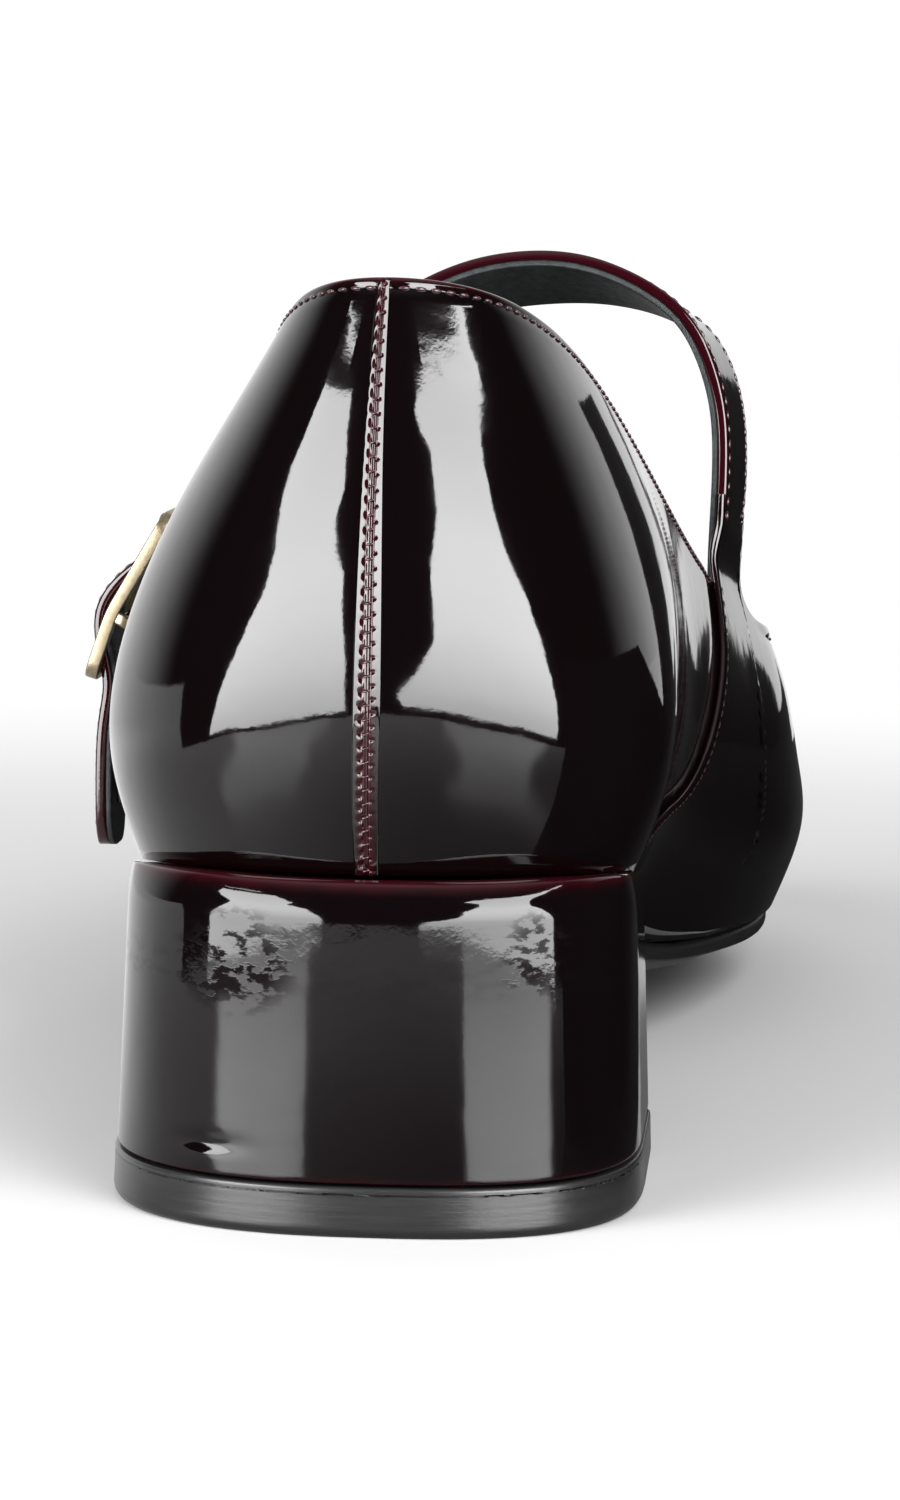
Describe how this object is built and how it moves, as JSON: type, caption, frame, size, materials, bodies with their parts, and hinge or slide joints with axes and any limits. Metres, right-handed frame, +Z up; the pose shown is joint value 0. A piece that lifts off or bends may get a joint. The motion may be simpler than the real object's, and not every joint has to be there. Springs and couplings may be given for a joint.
{
  "type": "mary jane pump",
  "caption": "Dark patent mary jane pump with a round toe, a covered low block heel and one strap over the instep with a small gold buckle.",
  "frame": {"origin": "on the floor, under the middle of the whole shoe's bounding box", "axes": "+Y from heel to toe, +Z up, +X towards the inner (medial) side of the left foot"},
  "size_m": [0.0858, 0.242, 0.0977],
  "materials": {
    "patent": "glossy patent, near black with a burgundy ground",
    "sock": "matt",
    "sole": "satin",
    "heel_rubber": "satin, finely brushed",
    "gold": "pale satin gold"
  },
  "bodies": {
    "root": {"upper": "patent", "insole": "sock", "outsole": "sole", "heel_block": "patent", "top_piece": "heel_rubber", "strap": "patent", "buckle_frame": "gold", "buckle_prong": "gold", "buckle_loop": "patent"}
  },
  "joints": []
}
